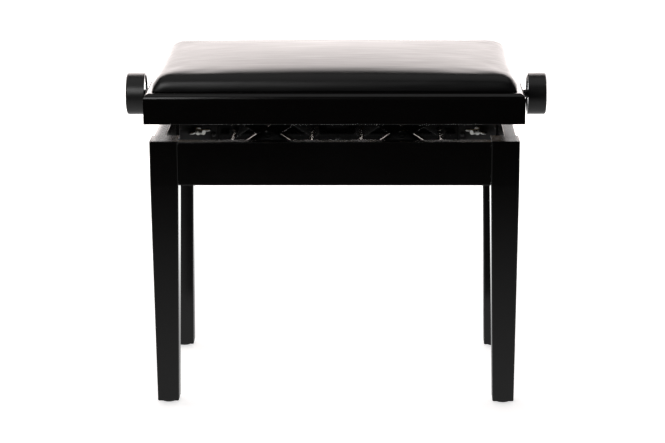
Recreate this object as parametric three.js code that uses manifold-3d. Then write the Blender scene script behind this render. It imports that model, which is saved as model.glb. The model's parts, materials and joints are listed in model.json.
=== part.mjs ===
// Height-adjustable keyboard bench: a padded seat on a wooden frame, lifted off a four-legged base by a
// steel scissor mechanism that a spindle with a knob at each end drives.
// Millimetres, +Z up, +X to the player's right hand side as seen from the front, +Y to the back.
// The origin is on the floor, under the middle of the bench.
import * as THREE from 'three';
import { mergeVertices } from 'three/addons/utils/BufferGeometryUtils.js';
import Module from 'manifold-3d';

const wasm = await Module();
wasm.setup();

// Base
const baseWidth = 539.5;
const baseDepth = 314;
const baseHeight = 401.8;
const legTopSize = 41.5;
const legFootSize = 31.8;
const legOuterTaper = 3;
const legEdgeRadius = 2.5;
const glideHeight = 3.2;
const glideRadius = 11;
const glideBevel = 1;
const apronHeight = 65.7;
const apronThickness = 18;
const apronSetback = 2.5;
const apronEdgeRadius = 2;

// Seat
const seatOverhangX = 6.25;
const seatOverhangY = 10.5;
const seatRailHeight = 44.7;
const seatRailThickness = 20;
const seatEdgeRadius = 7;
const seatLift = 28.2;
const boardThickness = 8;
const boardDrop = 0.5;
const blockReach = 42;
const blockHeight = 18;

// Cushion
const cushionInset = 12.5;
const cushionHeight = 36;
const cushionWallHeight = 4;
const cushionRoll = 25;
const cushionCrown = 6;
const cushionCornerRadius = 18;
const cushionDrawIn = 2;
const cushionFootInset = 2.5;
const cushionCornerDrop = 5;

// Scissor mechanism
const innerPivotX = 38;
const lowerPivotDrop = 39.3;
const spindleRise = 12;
const armWidth = 19;
const armThickness = 4;
const guideArmGap = 22.5;
const armSpacing = 1;
const lowerRodRadius = 4.5;
const lowerRodEndGap = 4;
const upperRodRadius = 5;
const upperRodStickOut = 2;
const pinRadius = 4;
const pinHeadRadius = 6.5;
const pinHeadHeight = 1.6;
const lowestRiseShare = 0.36;
const highestRiseShare = 0.855;

// Steel rails
const railThickness = 3;
const railEndMargin = 25;
const railBracketGap = 6.25;
const baseRailDrop = 7;
const baseRailArmGap = 3.5;
const baseRailWebHeight = 18;
const baseGuideOffset = 5;
const baseGuideHeight = 18;
const upperRailFlangeWidth = 21;
const upperGuideDrop = 24;
const railScrewHoleRadius = 3;
const railScrewHoleRise = 6.5;

// Corner fittings
const bracketLegGap = 4;
const bracketFlange = 12;
const bracketThickness = 2.5;
const bracketHeight = 40;
const boltRadius = 4;
const boltDepthInLeg = 22;
const boltStickOut = 20;
const boltRise = 24;
const wingNutRadius = 8;
const wingNutHeight = 8;
const wingReach = 17;
const wingThickness = 3;
const wingRise = 14;
const wingTipShare = 1.05;

// Spindle and knobs
const spindleRadius = 6;
const journalRadius = 4.2;
const journalStartGap = 6;
const bushRadius = 9;
const bushFlangeRadius = 13;
const bushFlangeThickness = 2.5;
const barBlockWidth = 24;
const barBlockDepth = 26;
const barBlockHeight = 22;
const knobRadius = 31.4;
const knobGap = 12.8;
const knobWidth = 28.2;
const knobRimRadius = 3;
const knobWall = 2.5;
const knobRecess = 3.3;
const knobDish = 1;
const knobHubRadius = 6;
const knobHubGap = 1;
const knobJournalCover = 5;

// Clearances
const fitGap = 0.2;
const runningGap = 0.3;
const slotEndGap = 1.5;
const cutOverrun = 2;

// Counts
const legEdgeSegments = 3;
const edgeSegments = 4;
const rodSegments = 24;
const holeSegments = 16;
const armEndSegments = 8;
const knobSegments = 30;
const rimSegments = 5;
const cushionCornerSegments = 5;
const cushionSideSegments = 10;
const cushionRollSegments = 6;
const cushionCrownSegments = 4;

// Places that follow from the sizes
const legSpan = baseHeight - glideHeight;
const apronBottom = baseHeight - apronHeight;
const apronInset = apronSetback + apronThickness;
const legHalfX = baseWidth / 2;
const legHalfY = baseDepth / 2;
const boltHeight = apronBottom + boltRise;
const seatWidth = baseWidth + 2 * seatOverhangX;
const seatDepth = baseDepth + 2 * seatOverhangY;
const seatBottom = baseHeight + seatLift;
const seatTop = seatBottom + seatRailHeight;
const boardTop = seatTop - boardDrop;
const boardBottom = boardTop - boardThickness;
const lowerPivotZ = baseHeight - lowerPivotDrop;
const upperPivotZ = seatBottom + spindleRise;
const apronInnerX = legHalfX - apronInset;
const apronInnerY = legHalfY - apronInset;
const bracketReach = 2 * (legTopSize - apronInset) + bracketLegGap;
const railLength = 2 * (apronInnerX - bracketReach - bracketFlange - railBracketGap);
const outerPivotX = railLength / 2 - railEndMargin;
const armOuterY = apronInnerY - baseGuideOffset - railThickness - guideArmGap;
const armInnerY = armOuterY - 2 * armThickness - armSpacing;
const armRun = outerPivotX - innerPivotX;
const armRise = upperPivotZ - lowerPivotZ;
const armLength = Math.hypot(armRun, armRise);
const armAngle = Math.atan2(armRise, armRun);
const crossingX = (outerPivotX + innerPivotX) / 2;
const crossingZ = (upperPivotZ + lowerPivotZ) / 2;
const lowestAngle = Math.asin(lowestRiseShare);
const highestAngle = Math.asin(highestRiseShare);
const innerPivotNear = outerPivotX - armLength * Math.cos(lowestAngle);
const innerPivotFar = outerPivotX - armLength * Math.cos(highestAngle);
const upperGuideY = armOuterY + pinHeadHeight + 2 * runningGap;
const baseRailFlangeTop = lowerPivotZ - baseRailDrop;
const baseRailFlangeWidth = apronInnerY - armOuterY - baseRailArmGap;
const knobInnerFace = seatWidth / 2 + knobGap;
const knobOuterFace = knobInnerFace + knobWidth;

const lacquer = { color: 0x0c0b0b, roughness: 0.35, metalness: 0 };
const vinyl = { color: 0x0d0d0e, roughness: 0.45, metalness: 0 };
const blackSteel = { color: 0x101012, roughness: 0.45, metalness: 0.6 };
const brightSteel = { color: 0xc9c9c6, roughness: 0.3, metalness: 1 };
const plastic = { color: 0x141414, roughness: 0.5, metalness: 0 };
const plywood = { color: 0xb08a5a, roughness: 0.8, metalness: 0 };

const bench = new THREE.Group();

function place(parent, name, geometry, finish, x = 0, y = 0, z = 0, turn = 0) {
  const mesh = new THREE.Mesh(geometry, new THREE.MeshStandardMaterial(finish));
  mesh.name = name;
  mesh.position.set(x, y, z);
  mesh.rotation.z = turn;
  parent.add(mesh);
  return mesh;
}

// Booleans
function solidOf(geometry) {
  const bare = new THREE.BufferGeometry();
  bare.setAttribute('position', geometry.getAttribute('position').clone());
  if (geometry.index) bare.setIndex(geometry.index.clone());
  const merged = mergeVertices(bare);
  const mesh = new wasm.Mesh({
    numProp: 3,
    vertProperties: new Float32Array(merged.getAttribute('position').array),
    triVerts: new Uint32Array(merged.index.array),
  });
  return new wasm.Manifold(mesh);
}

function geometryOf(solid) {
  const mesh = solid.getMesh();
  const geometry = new THREE.BufferGeometry();
  geometry.setAttribute('position', new THREE.BufferAttribute(new Float32Array(mesh.vertProperties), 3));
  geometry.setIndex(new THREE.BufferAttribute(new Uint32Array(mesh.triVerts), 1));
  return geometry;
}

// A rod along Y, centred on the given place.
function rodAlongY(radius, length, x, y, z, segments = rodSegments) {
  return new THREE.CylinderGeometry(radius, radius, length, segments).translate(x, y, z);
}

// A rod along X, centred on the given place.
function rodAlongX(radius, length, x, y, z, segments = rodSegments) {
  return new THREE.CylinderGeometry(radius, radius, length, segments).rotateZ(-Math.PI / 2).translate(x, y, z);
}

// A length of moulding along X. The profile's points are [distance in from the outer face, height]; a
// mitred end is drawn in by that distance.
function moulding(profile, length, mitred, endGap) {
  const shape = new THREE.Shape(profile.map(([inward, height]) => new THREE.Vector2(inward, height)));
  const geometry = new THREE.ExtrudeGeometry(shape, { depth: length, bevelEnabled: false, steps: 1 });
  const position = geometry.getAttribute('position');
  for (let i = 0; i < position.count; i++) {
    const inward = position.getX(i);
    const height = position.getY(i);
    const side = position.getZ(i) > length / 2 ? 1 : -1;
    const reach = length / 2 - endGap - (mitred ? inward : 0);
    position.setXYZ(i, side * reach, inward, height);
  }
  return geometry;
}

// A block profile with its upper outer edge rounded.
function edgedProfile(thickness, bottom, top, radius) {
  const points = [[0, bottom], [thickness, bottom], [thickness, top]];
  for (let i = 0; i <= edgeSegments; i++) {
    const angle = (Math.PI / 2) * (1 + i / edgeSegments);
    points.push([radius + radius * Math.cos(angle), top - radius + radius * Math.sin(angle)]);
  }
  return points;
}

const corners = [
  { name: 'front_left', side: -1, end: -1, turn: 0 },
  { name: 'front_right', side: 1, end: -1, turn: Math.PI / 2 },
  { name: 'rear_right', side: 1, end: 1, turn: Math.PI },
  { name: 'rear_left', side: -1, end: 1, turn: -Math.PI / 2 },
];

const sides = [
  { name: 'front', turn: 0 },
  { name: 'right', turn: Math.PI / 2 },
  { name: 'rear', turn: Math.PI },
  { name: 'left', turn: -Math.PI / 2 },
];

// Legs, each with the bore for its hanger bolt. Local x and y run in from the outer faces.
function legGeometry() {
  const half = legTopSize / 2;
  const shape = new THREE.Shape();
  shape.moveTo(-half + legEdgeRadius, -half);
  shape.absarc(half - legEdgeRadius, -half + legEdgeRadius, legEdgeRadius, -Math.PI / 2, 0, false);
  shape.absarc(half - legEdgeRadius, half - legEdgeRadius, legEdgeRadius, 0, Math.PI / 2, false);
  shape.absarc(-half + legEdgeRadius, half - legEdgeRadius, legEdgeRadius, Math.PI / 2, Math.PI, false);
  shape.absarc(-half + legEdgeRadius, -half + legEdgeRadius, legEdgeRadius, Math.PI, 1.5 * Math.PI, false);
  const levels = 2;
  const leg = new THREE.ExtrudeGeometry(shape, {
    depth: legSpan, steps: levels, bevelEnabled: false, curveSegments: legEdgeSegments,
  });
  const position = leg.getAttribute('position');
  for (let i = 0; i < position.count; i++) {
    const level = Math.round((position.getZ(i) / legSpan) * levels);
    const foot = level === 0;
    const height = [glideHeight, apronBottom, baseHeight][level];
    const scale = foot ? legFootSize / legTopSize : 1;
    const shift = foot ? legOuterTaper : 0;
    const x = (position.getX(i) + half) * scale + shift;
    const y = (position.getY(i) + half) * scale + shift;
    position.setXYZ(i, x, y, height);
  }
  const bore = new THREE.CylinderGeometry(
    boltRadius + runningGap, boltRadius + runningGap, boltDepthInLeg + cutOverrun, holeSegments,
  );
  bore.rotateZ(-Math.PI / 2).translate((cutOverrun - boltDepthInLeg) / 2, 0, 0);
  bore.rotateZ(Math.PI / 4).translate(legTopSize, legTopSize, boltHeight);
  return geometryOf(solidOf(leg).subtract(solidOf(bore)));
}

function glideGeometry() {
  const top = glideHeight - fitGap;
  const profile = [
    new THREE.Vector2(0, 0),
    new THREE.Vector2(glideRadius - glideBevel, 0),
    new THREE.Vector2(glideRadius, glideBevel),
    new THREE.Vector2(glideRadius, top),
    new THREE.Vector2(0, top),
  ];
  return new THREE.LatheGeometry(profile, rodSegments).rotateX(Math.PI / 2);
}

function addLegs(parent) {
  for (const corner of corners) {
    const x = corner.side * legHalfX;
    const y = corner.end * legHalfY;
    place(parent, `leg_${corner.name}`, legGeometry(), lacquer, x, y, 0, corner.turn);
    const inset = legOuterTaper + legFootSize / 2;
    const glideX = corner.side * (legHalfX - inset);
    const glideY = corner.end * (legHalfY - inset);
    place(parent, `glide_${corner.name}`, glideGeometry(), plastic, glideX, glideY, 0);
  }
}

function addAprons(parent) {
  const profile = edgedProfile(apronThickness, apronBottom, baseHeight, apronEdgeRadius);
  for (const side of sides) {
    const across = side.name === 'front' || side.name === 'rear';
    const width = across ? baseWidth : baseDepth;
    const reach = (across ? baseDepth : baseWidth) / 2 - apronSetback;
    const geometry = moulding(profile, width - 2 * legTopSize, false, fitGap).translate(0, -reach, 0);
    place(parent, `apron_${side.name}`, geometry, lacquer, 0, 0, 0, side.turn);
  }
}

// Pressed steel plate across each inner corner of the apron, with a flange along each apron.
function bracketGeometry() {
  const near = fitGap;
  const far = fitGap + bracketThickness;
  const inner = bracketReach + bracketThickness * (Math.SQRT2 - 1);
  const end = bracketReach + bracketFlange;
  const shape = new THREE.Shape([
    new THREE.Vector2(end, near),
    new THREE.Vector2(end, far),
    new THREE.Vector2(inner, far),
    new THREE.Vector2(far, inner),
    new THREE.Vector2(far, end),
    new THREE.Vector2(near, end),
    new THREE.Vector2(near, bracketReach),
    new THREE.Vector2(bracketReach, near),
  ]);
  const plate = new THREE.ExtrudeGeometry(shape, { depth: bracketHeight, bevelEnabled: false });
  plate.translate(0, 0, boltHeight - bracketHeight / 2);
  const middle = (bracketReach + near) / 2;
  const bore = new THREE.CylinderGeometry(
    boltRadius + runningGap, boltRadius + runningGap, bracketReach / 2, holeSegments,
  );
  bore.rotateZ(-Math.PI / 2).rotateZ(Math.PI / 4).translate(middle, middle, boltHeight);
  return geometryOf(solidOf(plate).subtract(solidOf(bore)));
}

// Hanger bolt with its wing nut, along local X from its end inside the leg.
function wingBoltGeometry() {
  const legToPlate = (bracketReach + fitGap - 2 * (legTopSize - apronInset)) / Math.SQRT2;
  const nutStart = boltDepthInLeg + legToPlate + bracketThickness + runningGap;
  const boltLength = nutStart + boltStickOut;
  const bolt = rodAlongX(boltRadius, boltLength, boltLength / 2, 0, 0, holeSegments);
  const hub = rodAlongX(wingNutRadius, wingNutHeight, nutStart + wingNutHeight / 2, 0, 0, holeSegments);
  const wingShape = new THREE.Shape();
  wingShape.moveTo(0, -boltRadius);
  wingShape.lineTo(wingNutHeight, -boltRadius);
  wingShape.quadraticCurveTo(wingNutHeight, wingReach / 2, wingRise, wingReach);
  wingShape.quadraticCurveTo(wingRise / 2, wingReach * wingTipShare, 0, wingNutRadius);
  wingShape.closePath();
  const wing = new THREE.ExtrudeGeometry(wingShape, {
    depth: wingThickness, bevelEnabled: false, curveSegments: edgeSegments,
  }).translate(nutStart, 0, -wingThickness / 2);
  const otherWing = wing.clone().rotateX(Math.PI);
  const nut = solidOf(hub).add(solidOf(wing)).add(solidOf(otherWing));
  return geometryOf(solidOf(bolt).add(nut));
}

function addCornerFittings(parent) {
  const cornerX = legHalfX - legTopSize;
  const cornerY = legHalfY - legTopSize;
  const back = boltDepthInLeg / Math.SQRT2;
  for (const corner of corners) {
    place(parent, `corner_bracket_${corner.name}`, bracketGeometry(), blackSteel,
      corner.side * apronInnerX, corner.end * apronInnerY, 0, corner.turn);
    place(parent, `wing_bolt_${corner.name}`, wingBoltGeometry(), brightSteel,
      corner.side * (cornerX + back), corner.end * (cornerY + back), boltHeight, corner.turn + Math.PI / 4);
  }
}

// A slot in the XZ plane that a rod slides along, as a cutter through a guide strip.
function slotCutter(fromX, toX, z, radius, depth, y) {
  const low = Math.min(fromX, toX);
  const high = Math.max(fromX, toX);
  const shape = new THREE.Shape();
  shape.moveTo(low, -radius);
  shape.absarc(high, 0, radius, -Math.PI / 2, Math.PI / 2, false);
  shape.absarc(low, 0, radius, Math.PI / 2, 1.5 * Math.PI, false);
  const cutter = new THREE.ExtrudeGeometry(shape, {
    depth, bevelEnabled: false, curveSegments: armEndSegments,
  });
  return solidOf(cutter.rotateX(Math.PI / 2).translate(0, y + depth / 2, z));
}

// Cuts the two fixed bores and the two slots that a pair of cross rods needs in a guide strip.
function cutForRods(rail, radius, z, y) {
  const hole = radius + runningGap;
  const depth = railThickness + 2 * cutOverrun;
  let cut = rail;
  for (const side of [-1, 1]) {
    const bore = rodAlongY(hole, depth, side * outerPivotX, y, z);
    const near = side * (innerPivotNear - slotEndGap);
    const far = side * (innerPivotFar + slotEndGap);
    cut = cut.subtract(solidOf(bore)).subtract(slotCutter(near, far, z, hole, depth, y));
  }
  return cut;
}

// Lower rail: a web screwed to the apron, a flange, and an upright guide strip that holds the rods.
function baseRailGeometry() {
  const flangeBottom = baseRailFlangeTop - railThickness;
  const webEdge = fitGap + railThickness;
  const guideEdge = baseGuideOffset + railThickness;
  const webBottom = baseRailFlangeTop - baseRailWebHeight;
  const guideTop = baseRailFlangeTop + baseGuideHeight;
  const profile = [
    [fitGap, webBottom],
    [webEdge, webBottom],
    [webEdge, flangeBottom],
    [baseRailFlangeWidth, flangeBottom],
    [baseRailFlangeWidth, baseRailFlangeTop],
    [guideEdge, baseRailFlangeTop],
    [guideEdge, guideTop],
    [baseGuideOffset, guideTop],
    [baseGuideOffset, baseRailFlangeTop],
    [fitGap, baseRailFlangeTop],
  ];
  const rail = moulding(profile, railLength, false, 0).translate(0, -apronInnerY, 0);
  const guideY = -apronInnerY + baseGuideOffset + railThickness / 2;
  let cut = cutForRods(solidOf(rail), lowerRodRadius, lowerPivotZ, guideY);
  for (const side of [-1, 0, 1]) {
    const webY = -apronInnerY + fitGap + railThickness / 2;
    const screwHole = rodAlongY(railScrewHoleRadius, railThickness + cutOverrun / 2,
      side * crossingX, webY, webBottom + railScrewHoleRise, holeSegments);
    cut = cut.subtract(solidOf(screwHole));
  }
  return geometryOf(cut);
}

// Upper rail: a flange under the seat board, and a guide strip that hangs from it.
function upperRailGeometry() {
  const top = boardBottom - fitGap;
  const bottom = upperPivotZ - upperGuideDrop;
  const outer = upperGuideY + upperRailFlangeWidth;
  const profile = [
    [0, top - railThickness],
    [upperRailFlangeWidth - railThickness, top - railThickness],
    [upperRailFlangeWidth - railThickness, bottom],
    [upperRailFlangeWidth, bottom],
    [upperRailFlangeWidth, top],
    [0, top],
  ];
  const rail = moulding(profile, railLength, false, 0).translate(0, -outer, 0);
  const guideMiddle = upperGuideY + railThickness / 2;
  return geometryOf(cutForRods(solidOf(rail), upperRodRadius, upperPivotZ, -guideMiddle));
}

function addRails(parent, names, geometry) {
  place(parent, names[0], geometry, blackSteel, 0, 0, 0);
  place(parent, names[1], geometry.clone(), blackSteel, 0, 0, 0, Math.PI);
}

// Flat steel arm with round ends, along local X from its first pivot, standing in the XZ plane.
function armGeometry(startHole, endHole) {
  const half = armWidth / 2;
  const shape = new THREE.Shape();
  shape.moveTo(0, -half);
  shape.absarc(armLength, 0, half, -Math.PI / 2, Math.PI / 2, false);
  shape.absarc(0, 0, half, Math.PI / 2, 1.5 * Math.PI, false);
  const holes = [[0, startHole], [armLength / 2, pinRadius], [armLength, endHole]];
  for (const [x, radius] of holes) {
    const hole = new THREE.Path();
    hole.absarc(x, 0, radius + runningGap, 0, 2 * Math.PI, true);
    shape.holes.push(hole);
  }
  const arm = new THREE.ExtrudeGeometry(shape, {
    depth: armThickness, bevelEnabled: false, curveSegments: armEndSegments,
  });
  return arm.rotateX(Math.PI / 2).translate(0, armThickness / 2, 0);
}

// Rivet that joins a crossed pair of arms, along Y, with its outer head first.
function pinGeometry(end) {
  const inside = armInnerY - runningGap;
  const outside = armOuterY + runningGap;
  const profile = [
    new THREE.Vector2(0, inside - pinHeadHeight),
    new THREE.Vector2(pinHeadRadius, inside - pinHeadHeight),
    new THREE.Vector2(pinHeadRadius, inside),
    new THREE.Vector2(pinRadius, inside),
    new THREE.Vector2(pinRadius, outside),
    new THREE.Vector2(pinHeadRadius, outside),
    new THREE.Vector2(pinHeadRadius, outside + pinHeadHeight),
    new THREE.Vector2(0, outside + pinHeadHeight),
  ];
  const pin = new THREE.LatheGeometry(profile, holeSegments);
  return end > 0 ? pin : pin.rotateX(Math.PI);
}

function addScissor(parent, sideName, side) {
  const outerX = side * outerPivotX;
  const innerX = side * innerPivotX;
  const armAY = armOuterY - armThickness / 2;
  const armBY = armInnerY + armThickness / 2;
  for (const [endName, end] of [['front', -1], ['rear', 1]]) {
    const armA = place(parent, `arm_a_${sideName}_${endName}`, armGeometry(lowerRodRadius, upperRodRadius),
      blackSteel, outerX, end * armAY, lowerPivotZ);
    armA.rotation.set(0, side < 0 ? -armAngle : armAngle - Math.PI, 0);
    const armB = place(parent, `arm_b_${sideName}_${endName}`, armGeometry(upperRodRadius, lowerRodRadius),
      blackSteel, outerX, end * armBY, upperPivotZ);
    armB.rotation.set(0, side < 0 ? armAngle : Math.PI - armAngle, 0);
    place(parent, `centre_pin_${sideName}_${endName}`, pinGeometry(end), blackSteel,
      side * crossingX, 0, crossingZ);
  }
  const rodLength = 2 * (apronInnerY - fitGap - lowerRodEndGap);
  place(parent, `lower_fixed_rod_${sideName}`, rodAlongY(lowerRodRadius, rodLength, 0, 0, 0),
    brightSteel, outerX, 0, lowerPivotZ);
  place(parent, `lower_sliding_rod_${sideName}`, rodAlongY(lowerRodRadius, rodLength, 0, 0, 0),
    brightSteel, innerX, 0, lowerPivotZ);
  place(parent, `nut_bar_${sideName}`, crossBarGeometry(), blackSteel, innerX, 0, upperPivotZ);
  place(parent, `bearing_bar_${sideName}`, crossBarGeometry(), blackSteel, outerX, 0, upperPivotZ);
}

// Upper cross bar with a block in its middle that the spindle passes through.
function crossBarGeometry() {
  const length = 2 * (upperGuideY + railThickness + upperRodStickOut);
  const block = new THREE.BoxGeometry(barBlockWidth, barBlockDepth, barBlockHeight);
  const bore = rodAlongX(spindleRadius + runningGap, barBlockWidth + 2 * cutOverrun, 0, 0, 0);
  const bar = solidOf(rodAlongY(upperRodRadius, length, 0, 0, 0)).add(solidOf(block));
  return geometryOf(bar.subtract(solidOf(bore)));
}

// Seat frame, mitred, with a bore for each spindle bush in the side rails.
function addSeatFrame(parent) {
  const profile = edgedProfile(seatRailThickness, seatBottom, seatTop, seatEdgeRadius);
  for (const side of sides) {
    const across = side.name === 'front' || side.name === 'rear';
    const width = across ? seatWidth : seatDepth;
    const reach = (across ? seatDepth : seatWidth) / 2;
    let geometry = moulding(profile, width, true, across ? 0 : fitGap).translate(0, -reach, 0);
    if (!across) {
      const depth = seatRailThickness + 2 * cutOverrun;
      const bore = rodAlongY(bushRadius + runningGap, depth, 0, -reach + seatRailThickness / 2, upperPivotZ);
      geometry = geometryOf(solidOf(geometry).subtract(solidOf(bore)));
    }
    place(parent, `seat_rail_${side.name}`, geometry, lacquer, 0, 0, 0, side.turn);
  }
}

// Plywood board inside the frame, level with its top, and a glue block under each of its corners.
function addSeatBoard(parent) {
  const rim = 2 * (seatRailThickness + fitGap);
  const board = new THREE.BoxGeometry(seatWidth - rim, seatDepth - rim, boardThickness);
  place(parent, 'seat_board', board, plywood, 0, 0, boardBottom + boardThickness / 2);
  const shape = new THREE.Shape([
    new THREE.Vector2(fitGap, fitGap),
    new THREE.Vector2(blockReach, fitGap),
    new THREE.Vector2(fitGap, blockReach),
  ]);
  const height = blockHeight - fitGap;
  const block = new THREE.ExtrudeGeometry(shape, { depth: height, bevelEnabled: false });
  const x = seatWidth / 2 - seatRailThickness;
  const y = seatDepth / 2 - seatRailThickness;
  for (const corner of corners) {
    place(parent, `seat_block_${corner.name}`, block.clone(), plywood,
      corner.side * x, corner.end * y, boardBottom - blockHeight, corner.turn);
  }
}

// Cushion outline at one level: a rounded rectangle whose sides draw in between its corners.
function cushionRing(inset, height, drawIn) {
  const halfX = seatWidth / 2 - cushionInset - inset;
  const halfY = seatDepth / 2 - cushionInset - inset;
  const radius = Math.max(cushionCornerRadius - inset / 2, cushionCornerRadius / 2);
  const ring = [];
  const arcs = [[1, -1, -Math.PI / 2], [1, 1, 0], [-1, 1, Math.PI / 2], [-1, -1, Math.PI]];
  arcs.forEach(([signX, signY, start], index) => {
    for (let i = 0; i <= cushionCornerSegments; i++) {
      const angle = start + (Math.PI / 2) * (i / cushionCornerSegments);
      const x = signX * (halfX - radius) + radius * Math.cos(angle);
      const y = signY * (halfY - radius) + radius * Math.sin(angle);
      ring.push([x, y, height]);
    }
    const from = ring[ring.length - 1];
    const [nextX, nextY, nextStart] = arcs[(index + 1) % arcs.length];
    const to = [
      nextX * (halfX - radius) + radius * Math.cos(nextStart),
      nextY * (halfY - radius) + radius * Math.sin(nextStart),
    ];
    const inward = nextStart + Math.PI;
    for (let i = 1; i < cushionSideSegments; i++) {
      const share = i / cushionSideSegments;
      const pull = drawIn * Math.sin(Math.PI * share);
      ring.push([
        from[0] + (to[0] - from[0]) * share + pull * Math.cos(inward),
        from[1] + (to[1] - from[1]) * share + pull * Math.sin(inward),
        height,
      ]);
    }
  });
  return ring;
}

// How far the stuffing's corners lie below its middle, growing from nothing at the cushion's foot.
function cornerDrop(x, y, rise) {
  const acrossShare = (2 * x) / (seatWidth - 2 * cushionInset);
  const alongShare = (2 * y) / (seatDepth - 2 * cushionInset);
  const riseShare = rise / (cushionHeight - cushionCrown);
  return cushionCornerDrop * acrossShare ** 4 * alongShare ** 2 * Math.min(riseShare, 1);
}

// Closed skin over a stack of rings of equal counts, from the lowest to the highest, with a fan at each end.
function skinOver(rings, bottomZ, topZ) {
  const count = rings[0].length;
  const points = rings.flat(2);
  const bottom = rings.length * count;
  const top = bottom + 1;
  points.push(0, 0, bottomZ, 0, 0, topZ);
  const faces = [];
  for (let i = 0; i < count; i++) {
    const next = (i + 1) % count;
    faces.push(bottom, next, i);
    for (let level = 0; level + 1 < rings.length; level++) {
      const low = level * count;
      const high = low + count;
      faces.push(low + i, low + next, high + next, low + i, high + next, high + i);
    }
    const last = (rings.length - 1) * count;
    faces.push(last + i, last + next, top);
  }
  const geometry = new THREE.BufferGeometry();
  geometry.setAttribute('position', new THREE.Float32BufferAttribute(points, 3));
  geometry.setIndex(faces);
  return geometry;
}

function addCushion(parent) {
  const base = seatTop + runningGap;
  const wallTop = base + cushionWallHeight;
  const rollHeight = cushionHeight - cushionWallHeight - cushionCrown;
  const rings = [
    cushionRing(cushionFootInset, base, cushionDrawIn),
    cushionRing(0, base + cushionWallHeight / 2, cushionDrawIn),
  ];
  for (let i = 0; i <= cushionRollSegments; i++) {
    const angle = (Math.PI / 2) * (i / cushionRollSegments);
    const inset = cushionRoll * (1 - Math.cos(angle));
    rings.push(cushionRing(inset, wallTop + rollHeight * Math.sin(angle), cushionDrawIn * Math.cos(angle)));
  }
  const shortHalf = seatDepth / 2 - cushionInset - cushionRoll;
  for (let i = 1; i < cushionCrownSegments; i++) {
    const share = i / cushionCrownSegments;
    const rise = cushionCrown * Math.sin((Math.PI / 2) * share);
    rings.push(cushionRing(cushionRoll + shortHalf * share, wallTop + rollHeight + rise, 0));
  }
  for (const point of rings.flat()) point[2] -= cornerDrop(point[0], point[1], point[2] - base);
  const skin = skinOver(rings, base, base + cushionHeight);
  place(parent, 'cushion', skin, vinyl);
}

// Drum knob: a face, a rounded rim, a shallow recess at the back, and a hub on the spindle's journal.
function knobGeometry() {
  const face = knobOuterFace - knobDish;
  const rimStart = knobRadius - knobRimRadius;
  const points = [[0, face], [rimStart - knobDish, face], [rimStart, knobOuterFace]];
  for (let i = 1; i <= rimSegments; i++) {
    const angle = (Math.PI / 2) * (i / rimSegments);
    const across = rimStart + knobRimRadius * Math.sin(angle);
    points.push([across, knobOuterFace - knobRimRadius * (1 - Math.cos(angle))]);
  }
  const hubEnd = seatWidth / 2 + knobHubGap;
  const webBack = knobInnerFace + knobRecess;
  const innerRadius = knobRadius - knobWall;
  points.push(
    [knobRadius, knobInnerFace],
    [innerRadius, knobInnerFace],
    [innerRadius, webBack],
    [knobHubRadius, webBack],
    [knobHubRadius, hubEnd],
    [journalRadius + runningGap, hubEnd],
    [journalRadius + runningGap, knobOuterFace - knobJournalCover],
    [0, knobOuterFace - knobJournalCover],
  );
  const profile = points.map(([radius, along]) => new THREE.Vector2(radius, along)).reverse();
  return new THREE.LatheGeometry(profile, knobSegments).rotateZ(-Math.PI / 2);
}

function addSpindle(parent) {
  const journalStart = seatWidth / 2 - seatRailThickness - journalStartGap;
  const journalEnd = knobOuterFace - knobJournalCover - runningGap;
  const profile = [
    new THREE.Vector2(0, -journalEnd),
    new THREE.Vector2(journalRadius, -journalEnd),
    new THREE.Vector2(journalRadius, -journalStart),
    new THREE.Vector2(spindleRadius, -journalStart),
    new THREE.Vector2(spindleRadius, journalStart),
    new THREE.Vector2(journalRadius, journalStart),
    new THREE.Vector2(journalRadius, journalEnd),
    new THREE.Vector2(0, journalEnd),
  ];
  const spindle = new THREE.LatheGeometry(profile, rodSegments).rotateZ(-Math.PI / 2);
  place(parent, 'spindle', spindle, brightSteel, 0, 0, upperPivotZ);
  const bushStart = seatWidth / 2 - seatRailThickness - bushFlangeThickness - fitGap;
  const flangeEnd = bushStart + bushFlangeThickness;
  const bushEnd = seatWidth / 2 - fitGap;
  const bore = journalRadius + runningGap;
  const bushProfile = [
    new THREE.Vector2(bore, bushStart),
    new THREE.Vector2(bushFlangeRadius, bushStart),
    new THREE.Vector2(bushFlangeRadius, flangeEnd),
    new THREE.Vector2(bushRadius, flangeEnd),
    new THREE.Vector2(bushRadius, bushEnd),
    new THREE.Vector2(bore, bushEnd),
    new THREE.Vector2(bore, bushStart),
  ];
  for (const [name, turn] of [['right', 0], ['left', Math.PI]]) {
    const bush = new THREE.LatheGeometry(bushProfile, rodSegments).rotateZ(-Math.PI / 2);
    place(parent, `bush_${name}`, bush, plastic, 0, 0, upperPivotZ, turn);
    place(parent, `knob_${name}`, knobGeometry(), plastic, 0, 0, upperPivotZ, turn);
  }
}

addLegs(bench);
addAprons(bench);
addCornerFittings(bench);
addRails(bench, ['base_rail_front', 'base_rail_rear'], baseRailGeometry());
addScissor(bench, 'left', -1);
addScissor(bench, 'right', 1);
addRails(bench, ['upper_rail_front', 'upper_rail_rear'], upperRailGeometry());
addSeatFrame(bench);
addSeatBoard(bench);
addCushion(bench);
addSpindle(bench);

export default bench;
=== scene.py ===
# Looks of the height-adjustable keyboard bench: satin black lacquer on wood, a padded vinyl seat and a steel
# scissor lift with a knob on each side. Metres, +Z up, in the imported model's own frame.
import json
import math
from functools import partial

import bmesh
import bpy
from bmesh import ops
from mathutils import Matrix, Vector


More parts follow.
